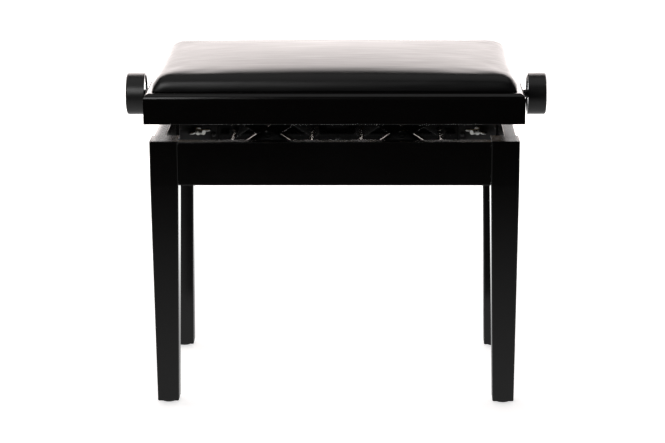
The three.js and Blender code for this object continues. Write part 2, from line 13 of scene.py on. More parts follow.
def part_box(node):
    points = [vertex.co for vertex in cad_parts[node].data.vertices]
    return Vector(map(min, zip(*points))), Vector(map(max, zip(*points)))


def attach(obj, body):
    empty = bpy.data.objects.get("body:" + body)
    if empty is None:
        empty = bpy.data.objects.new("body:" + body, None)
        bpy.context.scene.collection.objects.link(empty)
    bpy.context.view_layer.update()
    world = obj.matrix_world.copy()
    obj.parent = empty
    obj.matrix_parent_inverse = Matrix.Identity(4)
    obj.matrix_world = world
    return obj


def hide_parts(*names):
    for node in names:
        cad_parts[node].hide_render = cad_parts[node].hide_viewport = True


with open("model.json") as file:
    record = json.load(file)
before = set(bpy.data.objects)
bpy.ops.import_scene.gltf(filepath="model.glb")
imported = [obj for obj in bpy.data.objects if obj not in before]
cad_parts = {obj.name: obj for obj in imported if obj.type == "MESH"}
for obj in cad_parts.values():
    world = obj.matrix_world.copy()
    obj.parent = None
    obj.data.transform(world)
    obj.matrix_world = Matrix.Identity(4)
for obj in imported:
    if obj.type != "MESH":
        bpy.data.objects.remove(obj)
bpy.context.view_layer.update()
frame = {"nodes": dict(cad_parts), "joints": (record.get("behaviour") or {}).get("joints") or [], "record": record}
nodes = frame["nodes"]
body_of = {node: body for body, names in frame["record"]["behaviour"]["bodies"].items() for node in names}
pivot_of = {joint["name"]: Vector(joint["pos_m"]) for joint in frame["joints"]}
scene = bpy.context.scene

# Units, how near counts as at a place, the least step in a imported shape, and how far a cutter overruns
MM = 0.001
MICRON = 0.000001
NEAR = 0.1 * MM
SMALL_STEP = 0.2 * MM
OVERRUN = 5 * MM
CORNERS = ("front_left", "front_right", "rear_right", "rear_left")
SIDES = ("front", "right", "rear", "left")

# Edges and clearances
LEG_EDGE = 2.5 * MM
LEG_TOP_EDGE = 0.8 * MM
LEG_FOOT_EDGE = 1.2 * MM
APRON_EDGE = 1.6 * MM
SEAT_RAIL_TOP_EDGE = 9 * MM
SEAT_RAIL_EDGE = 1 * MM
MITRE_GAP = 0.1 * MM
MITRE_EDGE = 0.3 * MM
SHEET_EDGE = 0.6 * MM
BOARD_EDGE = 0.5 * MM
ARM_EDGE = 0.6 * MM
ROD_EDGE = 0.9 * MM
BLOCK_EDGE = 1.5 * MM
RUNNING_GAP = 0.3 * MM
GLIDE_EDGE = 1 * MM
BUSH_EDGE = 0.6 * MM
SPINDLE_CHAMFER = 0.8 * MM
LEG_PROUD = 1 * MM
APRON_SUNK = 0.6 * MM
BAR_SUNK = 3 * MM

# Steps of round forms
ARM_SEGMENTS = 48
ROD_SEGMENTS = 48
HOLE_SEGMENTS = 32
BORE_SEGMENTS = 64
DOME_STEPS = 6
SMALL_STEPS = 40
GLIDE_STEPS = 48
BUSH_STEPS = 64
KNOB_STEPS = 120

# Edges that turn less than this, in degrees, are shaded smooth
CREASE = 35

# Knobs
KNOB_RIM = 3 * MM
KNOB_LIP = 2.5 * MM
KNOB_RECESS = 1.6 * MM
KNOB_BACK_EDGE = 0.6 * MM
KNOB_DISH = 1.2 * MM
KNOB_DISH_SHARE = 0.55
KNOB_FACE_FALL = 0.2 * MM
KNOB_FACE_SHARE = 0.78
KNOB_DRAFT = 0.2 * MM
KNOB_BORE_COVER = 5 * MM

# Thread on the spindle: two starts, so that one turn moves each nut by two pitches
THREAD_STARTS = 2
THREAD_PITCH = 3 * MM
THREAD_DEPTH = 1.1 * MM
THREAD_FROM = 14 * MM
THREAD_TO = 132 * MM
THREAD_STEPS = 28
FLANK_SHARE = 0.25
CREST_SHARE = 0.25

# Corner bolts and their wing nuts
BOLT_STICK_OUT = 20 * MM
BOLT_THREAD_DEPTH = 0.65 * MM
BOLT_THREAD_PITCH = 1.25 * MM
BOLT_THREAD_STEPS = 20
WING_HUB_RADIUS = 8 * MM
WING_HUB_TAPER = 0.8
WING_HUB_HEIGHT = 8 * MM
WING_HUB_EDGE = 0.8 * MM
WING_REACH = 22 * MM
WING_RISE = 15 * MM
WING_THICKNESS = 3 * MM
WING_TIP = 5.5 * MM
WING_ROOT = 3.6 * MM
WING_EDGE = 1 * MM

# Screws
SCREW_RADIUS = 4 * MM
SCREW_HEIGHT = 2 * MM
SCREW_DOME_POWER = 0.7
SCREW_CROSS_REACH = 2.3 * MM
SCREW_CROSS_HALF = 0.45 * MM
SCREW_CROSS_FLOOR = 0.9 * MM
SCREW_FIRST_TURN = 23
SCREW_NEXT_TURN = 71
RAIL_SHEET = 3 * MM
RAIL_SCREW_LEVEL = 6.5 * MM
FLANGE_SCREW_REACH = 11 * MM
FLANGE_SCREW_PLACES = (-150, -60, 60, 150)
BRACKET_SHEET = 2.5 * MM
BRACKET_SCREW_LEVEL = 9 * MM
BRACKET_SCREW_REACH = 6 * MM

# Cushion
CUSHION_GRID = (110, 70)
CUSHION_OUTSET = 3.8 * MM
CUSHION_SHOULDER = 25.6 * MM
CUSHION_END_ROLL = 25.5 * MM
CUSHION_SIDE_ROLL = 21 * MM
CUSHION_MIDDLE_ROLL = 25.5 * MM
CUSHION_FULLNESS = 2.3
CUSHION_PULL = 2.5 * MM
CUSHION_SKIRT = 15 * MM
CUSHION_TUCK = 9 * MM
CUSHION_VOXEL = 5 * MM
CUSHION_SOFTENING = 4
CUSHION_SWELL = 0.8 * MM
CUSHION_LAST_SOFTENING = 3
CUSHION_HELD = 3 * MM

# Cloth that swells the cushion
CLOTH_PRESSURE = 3.0
CLOTH_STIFFNESS = 40
CLOTH_BENDING = 6
CLOTH_FRAMES = 20

# The camera, fitted to the photograph's edges
PHOTO_WIDTH = 665
FOCAL_PIXELS = 2222.174
SENSOR = 36.0
CAMERA_PLACE = Vector((0.064146, -3.306195, 1.113962))
CAMERA_YAW = math.radians(1.223)
CAMERA_PITCH = math.radians(-14.784)
CAMERA_ROLL = math.radians(-0.281)

# How far the floor runs out from its middle
FLOOR_REACH = 30.0

# Sockets of a Mix node set to colour
MIX_A = 6
MIX_B = 7
MIX_RESULT = 2


# Colours and nodes

def linear(code):
    """Linear colour from an sRGB hex value."""
    shares = [int(code[i:i + 2], 16) / 255 for i in (1, 3, 5)]
    return [s / 12.92 if s <= 0.04045 else ((s + 0.055) / 1.055) ** 2.4 for s in shares] + [1.0]


def add_node(tree, kind, inputs=None, **settings):
    """Adds a shader node with its settings. Each input takes a number, a colour, another node's output, or a
    node, which gives its result."""
    node = tree.nodes.new("ShaderNode" + kind)
    for name, value in settings.items():
        setattr(node, name, value)
    for name, value in (inputs or {}).items():
        if isinstance(value, bpy.types.Node):
            value = value.outputs[MIX_RESULT if getattr(value, "data_type", "") == "RGBA" else 0]
        if isinstance(value, bpy.types.NodeSocket):
            tree.links.new(value, node.inputs[name])
        else:
            node.inputs[name].default_value = value
    return node


def blank(name):
    """A new material without nodes, a function that adds them, and the place of a point in metres."""
    material = bpy.data.materials.new(name)
    material.use_nodes = True
    material.node_tree.nodes.clear()
    add = partial(add_node, material.node_tree)
    return material, add, add("TexCoord").outputs["Object"]


def stretched(axis, length, width):
    """Scale of a texture whose marks run along an axis, from a mark's length and width in millimetres."""
    return [1 / ((length if i == axis else width) * MM) for i in range(3)]


def satin_lacquer(name, grain_axis):
    """Black lacquer sprayed on beech, rubbed down to satin. It gives a near black face with soft reflections, a
    slight orange peel, and the wood's pores just showing as fine lines along the grain."""
    pore_length, pore_width, peel, cloud, scuff, scuffed_height = 14.0, 0.9, 2.6, 90.0, 7.0, 90.0
    material, add, place = blank(name)
    along = add("Mapping", {"Vector": place, "Scale": stretched(grain_axis, pore_length, pore_width)})
    pores = add("TexNoise", {"Vector": along, "Scale": 1.0, "Detail": 3.0})
    ripple = add("TexNoise", {"Vector": place, "Scale": 1 / (peel * MM), "Detail": 1.0})
    clouds = add("TexNoise", {"Vector": place, "Scale": 1 / (cloud * MM), "Detail": 4.0})
    marks = add("TexNoise", {
        "Vector": place, "Scale": 1 / (scuff * MM), "Detail": 6.0, "Roughness": 0.7, "Distortion": 1.2})
    height = add("SeparateXYZ", {"Vector": place}).outputs["Z"]
    low_down = add("MapRange", {"Value": height, "From Min": scuffed_height * MM, "From Max": 0.0})
    worn = add("MapRange", {"Value": marks, "From Min": 0.60, "From Max": 0.72, "To Max": 0.6})
    scuffs = add("Math", {0: low_down, 1: worn}, operation="MULTIPLY")
    sheen = add("MapRange", {"Value": clouds, "From Min": 0.3, "From Max": 0.7, "To Min": 0.13, "To Max": 0.19})
    rough = add("Math", {0: scuffs, 1: 0.25, 2: sheen}, operation="MULTIPLY_ADD")
    grain = add("Mix", {0: pores, MIX_A: linear("#070606"), MIX_B: linear("#100e0d")}, data_type="RGBA")
    colour = add("Mix", {0: scuffs, MIX_A: grain, MIX_B: linear("#2c2826")}, data_type="RGBA")
    relief = add("Math", {0: pores, 1: 0.6, 2: ripple}, operation="MULTIPLY_ADD")
    bump = add("Bump", {"Height": relief, "Strength": 0.6, "Distance": 14 * MICRON})
    shader = add("BsdfPrincipled", {"Base Color": colour, "Roughness": rough, "IOR": 1.5, "Normal": bump})
    add("OutputMaterial", {"Surface": shader})
    return material


def upholstery_vinyl():
    """Smooth black upholstery vinyl, calendered PVC on a knit, pulled over foam. It gives a pale soft sheen at
    a low angle, a fine leather grain, and faint streaks along the bench."""
    cell, streak_length, streak_width, cloud = 1.3, 75.0, 4.5, 60.0
    material, add, place = blank("black_upholstery_vinyl")
    # Real grain is about 0.8 mm across; it is drawn at 1.3 mm so that it shows.
    cells = add("TexVoronoi", {"Vector": place, "Scale": 1 / (cell * MM), "Randomness": 0.9},
                feature="SMOOTH_F1")
    along = add("Mapping", {"Vector": place, "Scale": stretched(0, streak_length, streak_width)})
    streaks = add("TexNoise", {"Vector": along, "Scale": 1.0, "Detail": 3.0})
    clouds = add("TexNoise", {"Vector": place, "Scale": 1 / (cloud * MM), "Detail": 3.0})
    relief = add("Math", {0: cells.outputs["Distance"], 1: 0.15, 2: streaks}, operation="MULTIPLY_ADD")
    bump = add("Bump", {"Height": relief, "Strength": 0.8, "Distance": 110 * MICRON})
    mottle = add("Math", {0: clouds, 1: 0.2, 2: streaks}, operation="MULTIPLY_ADD")
    rough = add("MapRange", {"Value": mottle, "From Min": 0.4, "From Max": 0.8, "To Min": 0.31, "To Max": 0.38})
    colour = add("Mix", {
        0: cells.outputs["Distance"], MIX_A: linear("#131213"), MIX_B: linear("#0a0a0b")}, data_type="RGBA")
    shader = add("BsdfPrincipled", {"Base Color": colour, "Roughness": rough, "IOR": 1.52, "Normal": bump})
    add("OutputMaterial", {"Surface": shader})
    return material


def black_coated_steel(name, smooth, rough_end, density):
    """Pressed mild steel with a black coat. It gives a thin skin with a faint pebble, glossy or matt by its
    roughness, a little thinner and browner where parts rub."""
    pebble, rub = 0.9, 16.0
    material, add, place = blank(name)
    skin = add("TexNoise", {"Vector": place, "Scale": 1 / (pebble * MM), "Detail": 2.0})
    rubs = add("TexNoise", {"Vector": place, "Scale": 1 / (rub * MM), "Detail": 6.0, "Roughness": 0.65})
    thin = add("MapRange", {"Value": rubs, "From Min": 0.55, "From Max": 0.75})
    colour = add("Mix", {0: thin, MIX_A: linear("#0d0d0e"), MIX_B: linear("#1b1817")}, data_type="RGBA")
    rough = add("MapRange", {
        "Value": rubs, "From Min": 0.3, "From Max": 0.7, "To Min": smooth, "To Max": rough_end})
    bump = add("Bump", {"Height": skin, "Strength": 0.5, "Distance": 12 * MICRON})
    shader = add("BsdfPrincipled", {"Base Color": colour, "Roughness": rough, "IOR": density, "Normal": bump})
    add("OutputMaterial", {"Surface": shader})
    return material


def zinc_plate(name, draw_axis):
    """Bright zinc plated steel. It gives a clear grey mirror, a little dulled by fine drawing lines along or
    turning lines round the bar, with a slight bluish and yellowish passivation."""
    line_length, line_width, cloud = 30.0, 0.5, 12.0
    material, add, place = blank(name)
    along = add("Mapping", {"Vector": place, "Scale": stretched(draw_axis, line_length, line_width)})
    lines = add("TexNoise", {"Vector": along, "Scale": 1.0, "Detail": 2.0})
    clouds = add("TexNoise", {"Vector": place, "Scale": 1 / (cloud * MM), "Detail": 4.0})
    colour = add("Mix", {0: clouds, MIX_A: linear("#b9bdc1"), MIX_B: linear("#d2cec3")}, data_type="RGBA")
    mottle = add("Math", {0: clouds, 1: lines}, operation="ADD")
    rough = add("MapRange", {"Value": mottle, "From Min": 0.7, "From Max": 1.3, "To Min": 0.11, "To Max": 0.2})
    bump = add("Bump", {"Height": lines, "Strength": 0.4, "Distance": 2.5 * MICRON})
    shader = add("BsdfPrincipled", {"Base Color": colour, "Metallic": 1.0, "Roughness": rough, "Normal": bump})
    add("OutputMaterial", {"Surface": shader})
    return material


def moulded_plastic(name, dark, light, roughness, flat_roughness, density):
    """Injection moulded plastic with a fine spark-eroded texture on its round faces and a polished mould on its
    flat ones. It gives a matt skin with a broad soft highlight, and flat faces that shine at a low angle."""
    texture, cloud, spread = 0.7, 25.0, 0.05
    material, add, place = blank(name)
    skin = add("TexNoise", {"Vector": place, "Scale": 1 / (texture * MM), "Detail": 3.0})
    clouds = add("TexNoise", {"Vector": place, "Scale": 1 / (cloud * MM), "Detail": 4.0})
    colour = add("Mix", {0: clouds, MIX_A: linear(dark), MIX_B: linear(light)}, data_type="RGBA")
    matt = add("MapRange", {
        "Value": clouds, "From Min": 0.3, "From Max": 0.7, "To Min": roughness - spread,
        "To Max": roughness + spread})
    facing = add("SeparateXYZ", {"Vector": add("TexCoord").outputs["Normal"]}).outputs["X"]
    flat = add("MapRange", {
        "Value": add("Math", {0: facing}, operation="ABSOLUTE"),
        "From Min": 0.97, "From Max": 0.995})
    rough = add("Mix", {0: flat, 2: matt, 3: flat_roughness}, data_type="FLOAT")
    texture_share = add("MapRange", {"Value": flat, "To Min": 0.6, "To Max": 0.05})
    bump = add("Bump", {"Height": skin, "Strength": texture_share, "Distance": 22 * MICRON})
    shader = add("BsdfPrincipled", {"Base Color": colour, "Roughness": rough, "IOR": density, "Normal": bump})
    add("OutputMaterial", {"Surface": shader})
    return material


def bare_plywood():
    """Bare birch plywood, rotary cut and sanded. It gives a dull pale face with long grain along the bench and,
    at its edges, thin plies that run alternately dark and light."""
    grain_length, grain_width, ply = 90.0, 3.0, 1.35
    material, add, place = blank("bare_birch_plywood")
    along = add("Mapping", {"Vector": place, "Scale": stretched(0, grain_length, grain_width)})
    fibres = add("TexNoise", {
        "Vector": along, "Scale": 1.0, "Detail": 6.0, "Roughness": 0.6, "Distortion": 0.4})
    height = add("SeparateXYZ", {"Vector": place}).outputs["Z"]
    layer = add("Math", {0: height, 1: 2 * ply * MM}, operation="PINGPONG")
    plies = add("MapRange", {
        "Value": layer, "From Min": 0.4 * ply * MM, "From Max": 0.6 * ply * MM, "To Max": 0.35})
    pale = add("Mix", {0: fibres, MIX_A: linear("#9c825d"), MIX_B: linear("#b9a079")}, data_type="RGBA")
    facing = add("SeparateXYZ", {"Vector": add("NewGeometry").outputs["True Normal"]}).outputs["Z"]
    flat = add("Math", {0: facing}, operation="ABSOLUTE")
    edge_only = add("MapRange", {"Value": flat, "From Min": 0.5, "From Max": 0.2})
    dark_ply = add("Math", {0: plies, 1: edge_only}, operation="MULTIPLY")
    colour = add("Mix", {0: dark_ply, MIX_A: pale, MIX_B: linear("#6a5339")}, data_type="RGBA")
    rough = add("MapRange", {"Value": fibres, "To Min": 0.62, "To Max": 0.78})
    bump = add("Bump", {"Height": fibres, "Strength": 0.5, "Distance": 60 * MICRON})
    shader = add("BsdfPrincipled", {"Base Color": colour, "Roughness": rough, "IOR": 1.45, "Normal": bump})
    add("OutputMaterial", {"Surface": shader})
    return material


lacquer_along = [satin_lacquer("satin_lacquer_grain_" + "xyz"[axis], axis) for axis in range(3)]
zinc_along = [zinc_plate("zinc_plate_drawn_" + "xyz"[axis], axis) for axis in range(3)]
vinyl = upholstery_vinyl()
coated_steel = black_coated_steel("black_electrocoated_steel", 0.11, 0.18, 1.55)
matt_steel = black_coated_steel("matt_black_pressed_steel", 0.48, 0.62, 1.4)
knob_plastic = moulded_plastic("moulded_knob_plastic", "#141414", "#1c1b1b", 0.36, 0.05, 1.62)
nylon = moulded_plastic("moulded_nylon", "#161616", "#1e1e1d", 0.42, 0.3, 1.53)
plywood = bare_plywood()


# Mesh helpers

def unit(axis):
    """Vector of length one along an axis."""
    return Vector([float(i == axis) for i in range(3)])


def points_of(node):
    """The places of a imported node's vertices."""
    return [vert.co for vert in nodes[node].data.vertices]


def off_axis(point, centre):
    """Distance of a point from the line along X through a centre."""
    return math.hypot(point.y - centre.y, point.z - centre.z)


def reaches(node, axis):
    """How near and how far from the bench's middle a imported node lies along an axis."""
    return sorted(abs(corner[axis]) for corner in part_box(node))


def slice_box(node, axis, value):
    """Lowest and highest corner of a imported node's vertices at one place along an axis."""
    points = [p for p in points_of(node) if abs(p[axis] - value) < NEAR]
    return Vector(map(min, zip(*points))), Vector(map(max, zip(*points)))


def made_verts(made):
    """The vertices among what a mesh operator made."""
    return [item for item in made["geom"] if isinstance(item, bmesh.types.BMVert)]


def mesh_of(bm, name):
    """A mesh with the given name, made of a bmesh that is no longer needed."""
    mesh = bpy.data.meshes.new(name)
    bm.to_mesh(mesh)
    bm.free()
    return mesh


def linked(name, data):
    """A new object in the scene."""
    made = bpy.data.objects.new(name, data)
    scene.collection.objects.link(made)
    return made


def cut_off(bm, place, normal):
    """Takes off what lies past a plane, and gives the open edges that this leaves."""
    ops.bisect_plane(bm, geom=bm.verts[:] + bm.edges[:] + bm.faces[:], plane_co=place, plane_no=normal,
                     clear_outer=True, dist=MICRON)
    return [e for e in bm.edges if e.is_boundary]


def box_mesh(low, high):
    """A closed box between two corners."""
    bm = bmesh.new()
    size = Matrix.Diagonal((*(high - low), 1))
    ops.create_cube(bm, size=1, matrix=Matrix.Translation((low + high) / 2) @ size)
    return bm


def edges_along(bm, axis):
    """The edges that run along one axis."""
    return [e for e in bm.edges if abs((e.verts[0].co - e.verts[1].co).normalized()[axis]) > 0.99]


def sharp_edges(bm, degrees=50):
    """The edges where two faces meet at more than an angle."""
    limit = math.radians(degrees)
    return [e for e in bm.edges if e.is_manifold and e.calc_face_angle(0) > limit]


def round_off(bm, edges, radius, segments=3):
    """Rounds the given edges."""
    ops.bevel(bm, geom=edges, offset=radius, offset_type="OFFSET", segments=segments, profile=0.5,
              affect="EDGES", clamp_overlap=True, material=-1)


def middle(edge):
    """The midpoint of an edge."""
    return (edge.verts[0].co + edge.verts[1].co) / 2


def rod_mesh(axis, radius, start, end, centre, edge=ROD_EDGE, segments=ROD_SEGMENTS):
    """A round bar with chamfered ends along an axis, from start to end, through a centre."""
    bm = bmesh.new()
    ops.create_cone(bm, cap_ends=True, segments=segments, radius1=radius, radius2=radius, depth=end - start)
    round_off(bm, sharp_edges(bm), edge, 2)
    turn = [Matrix.Rotation(math.pi / 2, 4, "Y"), Matrix.Rotation(-math.pi / 2, 4, "X"), Matrix()][axis]
    place = Vector(centre)
    place[axis] = (start + end) / 2
    ops.transform(bm, matrix=Matrix.Translation(place) @ turn, verts=bm.verts)
    return bm


def turned_mesh(points, centre, axis, steps=SMALL_STEPS, turns=1.0, advance=0.0):
    """A profile of [distance along, radius] turned round an axis through a centre, moving along it if asked."""
    bm = bmesh.new()
    direction, outward = unit(axis), unit((axis + 1) % 3)
    line = [bm.verts.new(Vector(centre) + direction * along + outward * radius) for along, radius in points]
    edges = [bm.edges.new(pair) for pair in zip(line, line[1:])]
    ops.spin(bm, geom=line + edges, cent=centre, axis=direction, dvec=direction * advance,
             angle=2 * math.pi * turns, steps=steps, use_merge=advance == 0, use_duplicate=False)
    ops.remove_doubles(bm, verts=bm.verts, dist=MICRON)
    ops.dissolve_degenerate(bm, edges=bm.edges, dist=MICRON)
    return bm


def arc(centre_along, centre_radius, radius, start, end, steps):
    """Points of an arc in a turned profile, in degrees from the axis direction."""
    turn = [math.radians(start + (end - start) * i / steps) for i in range(steps + 1)]
    return [(centre_along + radius * math.cos(a), centre_radius + radius * math.sin(a)) for a in turn]


def joined(*parts):
    """One mesh from several closed ones."""
    whole = bmesh.new()
    for part in parts:
        scratch = mesh_of(part, "scratch")
        whole.from_mesh(scratch)
        bpy.data.meshes.remove(scratch)
    return whole


def cut(bm, cutter):
    """One closed mesh less another."""
    made = []
    for name, source in (("block", bm), ("cutter", cutter)):
        ops.recalc_face_normals(source, faces=source.faces)
        made.append(linked(name, mesh_of(source, name)))
    block, tool = made
    modifier = block.modifiers.new("cut", "BOOLEAN")
    modifier.operation = "DIFFERENCE"
    modifier.solver = "EXACT"
    modifier.object = tool
    result = bmesh.new()
    result.from_object(block, bpy.context.evaluated_depsgraph_get())
    for item in made:
        mesh = item.data
        bpy.data.objects.remove(item)
        bpy.data.meshes.remove(mesh)
    return result


def finish_piece(bm, name, material, stands_for=(), body=None, weighted=True):
    """Makes a piece of a mesh, shaded smooth up to the crease angle, and rides it on its body."""
    ops.remove_doubles(bm, verts=bm.verts, dist=MICRON)
    ops.recalc_face_normals(bm, faces=bm.faces)
    limit = math.radians(CREASE)
    for face in bm.faces:
        face.smooth = True
    for edge in bm.edges:
        edge.smooth = edge.is_manifold and edge.calc_face_angle(0) < limit
    mesh = mesh_of(bm, name)
    mesh.materials.append(material)
    piece = linked(name, mesh)
    if weighted:
        piece.modifiers.new("weighted_normals", "WEIGHTED_NORMAL").keep_sharp = True
    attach(piece, body or body_of[stands_for[0]])
    if stands_for:
        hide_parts(*stands_for)


def softened(node, name, material, edge):
    """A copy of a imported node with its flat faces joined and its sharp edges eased."""
    bm = bmesh.new()
    bm.from_mesh(nodes[node].data)
    ops.remove_doubles(bm, verts=bm.verts, dist=MICRON)
    ops.dissolve_limit(bm, angle_limit=math.radians(1), verts=bm.verts, edges=bm.edges)
    round_off(bm, sharp_edges(bm), edge, 2)
    finish_piece(bm, name, material, [node])


# Base

def make_leg(corner):
    """Square at the apron, tapered below it, with eased edges all round."""
    node = "leg_" + corner
    low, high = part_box(node)
    high.z += LEG_PROUD
    foot_low, foot_high = slice_box(node, 2, low.z)
    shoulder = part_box("apron_front")[0].z
    centre = (low + high) / 2
    bm = box_mesh(Vector((low.x, low.y, shoulder)), high)
    under = min(bm.faces, key=lambda face: face.calc_center_median().z)
    for vert in made_verts(ops.extrude_face_region(bm, geom=[under])):
        vert.co = (foot_low.x if vert.co.x < centre.x else foot_high.x,
                   foot_low.y if vert.co.y < centre.y else foot_high.y, low.z)
    round_off(bm, edges_along(bm, 2), LEG_EDGE, 5)
    for level, edge in ((high.z, LEG_TOP_EDGE), (low.z, LEG_FOOT_EDGE)):
        rim = [e for e in sharp_edges(bm) if abs(middle(e).z - level) < MICRON]
        round_off(bm, rim, edge)
    finish_piece(bm, "wood_" + node, lacquer_along[2], [node])


def make_glide(corner):
    """Nylon disc with a rounded sole."""
    node = "glide_" + corner
    low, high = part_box(node)
    centre = (low + high) / 2
    radius = (high.x - low.x) / 2
    bottom, top = low.z - centre.z, high.z - centre.z
    profile = [(bottom, 0), *arc(bottom + GLIDE_EDGE, radius - GLIDE_EDGE, GLIDE_EDGE, 180, 90, 4),
               (top, radius), (top, 0)]
    bm = turned_mesh(profile, centre, 2, GLIDE_STEPS)
    finish_piece(bm, "nylon_" + node, nylon, [node])


def make_apron(side):
    """Apron rail between two legs, with its long edges eased."""
    node = "apron_" + side
    along = SIDES.index(side) % 2
    low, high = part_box(node)
    high.z -= APRON_SUNK
    bm = box_mesh(low, high)
    round_off(bm, edges_along(bm, along), APRON_EDGE, 4)
    finish_piece(bm, "wood_" + node, lacquer_along[along], [node])


# Seat frame

def make_seat_rail(side):
    """Seat rail with a large rounding on its upper outer edge, mitred at both ends."""
    node = "seat_rail_" + side
    low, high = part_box(node)
    along = SIDES.index(side) % 2
    across = 1 - along
    outward = -1 if side in ("front", "left") else 1
    centre = (low + high) / 2
    bm = box_mesh(low, high)
    outer = [e for e in edges_along(bm, along)
             if (middle(e)[across] - centre[across]) * outward > 0 and middle(e).z > centre.z]
    round_off(bm, outer, SEAT_RAIL_TOP_EDGE, 10)
    lengthwise = edges_along(bm, along)
    round_off(bm, [e for e in sharp_edges(bm, 80) if e in lengthwise], SEAT_RAIL_EDGE)
    outer_face = (high if outward > 0 else low)[across]
    half = cad_seat_half[along]
    for end in (-1, 1):
        corner = centre.copy()
        corner[across] = outer_face
        corner[along] = end * (half - MITRE_GAP)
        normal = unit(along) * end - unit(across) * outward
        ops.holes_fill(bm, edges=cut_off(bm, corner, normal), sides=0)
    lengthwise = edges_along(bm, along)
    round_off(bm, [e for e in sharp_edges(bm, 40) if e not in lengthwise], MITRE_EDGE, 2)
    if along == 1:
        bush = "bush_" + side
        bush_low, bush_high = slice_box(bush, 0, outer_face - outward * SMALL_STEP)
        radius = (bush_high.z - bush_low.z) / 2 + RUNNING_GAP
        bm = cut(bm, rod_mesh(0, radius, low.x - OVERRUN, high.x + OVERRUN, (bush_low + bush_high) / 2,
                              segments=BORE_SEGMENTS))
    finish_piece(bm, "wood_" + node, lacquer_along[along], [node])


# Scissor lift

def arm_mesh(start, end, y_low, y_high, half, holes):
    """Flat bar with round ends from start to end in the XZ plane, with a hole for each pivot."""
    bm = bmesh.new()
    length = (end - start).length
    rings = [(0.0, half, ARM_SEGMENTS)] + [(share * length, radius, HOLE_SEGMENTS) for share, radius in holes]
    edges = []
    for place, radius, count in rings:
        ring = ops.create_circle(bm, cap_ends=False, segments=count, radius=radius)["verts"]
        ops.rotate(bm, verts=ring, cent=(0, 0, 0), matrix=Matrix.Rotation(math.pi / count, 3, "Z"))
        ops.translate(bm, verts=ring, vec=(place, 0, 0))
        if count == ARM_SEGMENTS:
            far_end = [v for v in ring if v.co.x > 0]
            ops.translate(bm, verts=far_end, vec=(length, 0, 0))
        edges += list({e for v in ring for e in v.link_edges})
    ops.triangle_fill(bm, use_beauty=True, use_dissolve=False, edges=edges)
    lifted = made_verts(ops.extrude_face_region(bm, geom=bm.faces[:]))
    ops.translate(bm, verts=lifted, vec=(0, 0, y_high - y_low))
    ops.recalc_face_normals(bm, faces=bm.faces)
    round_off(bm, sharp_edges(bm, 60), ARM_EDGE)
    direction = (end - start).normalized()
    side = Vector((0, -1, 0))
    up = side.cross(direction)
    turn = Matrix((direction, up, side)).transposed().to_4x4()
    place = Matrix.Translation(Vector((start.x, y_high, start.z)))
    ops.transform(bm, matrix=place @ turn, verts=bm.verts)
    return bm


def rod_radius(node):
    """Radius of a cross rod at its end."""
    low, high = slice_box(node, 1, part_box(node)[1].y)
    return (high.x - low.x) / 2


def make_arms(side):
    """The two crossed pairs on one side, with their rivets."""
    left = side == "left"
    lower_outer = pivot_of["lift" if left else "lift_right"]
    crossing = pivot_of["cross_" + side]
    upper_inner = pivot_of["nut_pivot_" + side]
    upper_outer = 2 * crossing - Vector((upper_inner.x, 0, lower_outer.z))
    lower_inner = 2 * crossing - upper_outer
    pin = shank_radius("centre_pin_%s_rear" % side) + RUNNING_GAP
    lower = rod_radius("lower_fixed_rod_" + side) + RUNNING_GAP
    upper = rod_radius("nut_bar_" + side) + RUNNING_GAP
    for end in ("front", "rear"):
        for letter, start, stop, first, last in (
                ("a", lower_outer, upper_inner, lower, upper), ("b", upper_outer, lower_inner, upper, lower)):
            node = "arm_%s_%s_%s" % (letter, side, end)
            low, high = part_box(node)
            half = min(abs(start.z - low.z), abs(high.z - start.z))
            bm = arm_mesh(start, stop, low.y, high.y, half, ((0.0, first), (0.5, pin), (1.0, last)))
            finish_piece(bm, "steel_" + node, coated_steel, [node])
        make_rivet("centre_pin_%s_%s" % (side, end), crossing)


def shank_radius(node):
    """Radius of a rivet's shank, seen midway along it."""
    low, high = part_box(node)
    centre = (low + high) / 2
    reaches = [math.hypot(p.x - centre.x, p.z - centre.z) for p in points_of(node)]
    return min(reach for reach in reaches if reach > 1 * MM)


def make_rivet(node, centre):
    """Rivet with a low domed head at each end."""
    low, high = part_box(node)
    head_radius, shank = (high.x - low.x) / 2, shank_radius(node)
    head = min(high.y - p.y for p in points_of(node) if high.y - p.y > SMALL_STEP)
    turns = [math.pi / 2 * i / DOME_STEPS for i in range(DOME_STEPS + 1)]
    dome = [(head * math.cos(turn), head_radius * math.sin(turn)) for turn in turns]
    near = [(low.y + head - along, radius) for along, radius in dome]
    far = [(high.y - head + along, radius) for along, radius in reversed(dome)]
    profile = near + [(low.y + head, shank), (high.y - head, shank)] + far
    bm = turned_mesh(profile, Vector((centre.x, 0, centre.z)), 1)
    finish_piece(bm, "steel_" + node, coated_steel, [node])


def make_rod(node):
    """Plain cross rod."""
    low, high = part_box(node)
    bm = rod_mesh(1, rod_radius(node), low.y, high.y, (low + high) / 2)
    finish_piece(bm, "zinc_" + node, zinc_along[1], [node])


def make_cross_bar(node):
    """Cross bar with a bored block in its middle for the spindle."""
    low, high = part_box(node)
    centre = (low + high) / 2
    radius = rod_radius(node)
    block_low, block_high = slice_box(node, 0, high.x)
    block_low.x = low.x
    block = box_mesh(block_low, block_high)
    round_off(block, block.edges[:], BLOCK_EDGE)
    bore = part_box("spindle")[1].z - centre.z + RUNNING_GAP
    block = cut(block, rod_mesh(0, bore, low.x - OVERRUN, high.x + OVERRUN, centre, segments=BORE_SEGMENTS))
    rods = [rod_mesh(1, radius, low.y, block_low.y + BAR_SUNK, centre),
            rod_mesh(1, radius, block_high.y - BAR_SUNK, high.y, centre)]
    finish_piece(joined(block, *rods), "steel_" + node, coated_steel, [node])


# Corner fittings

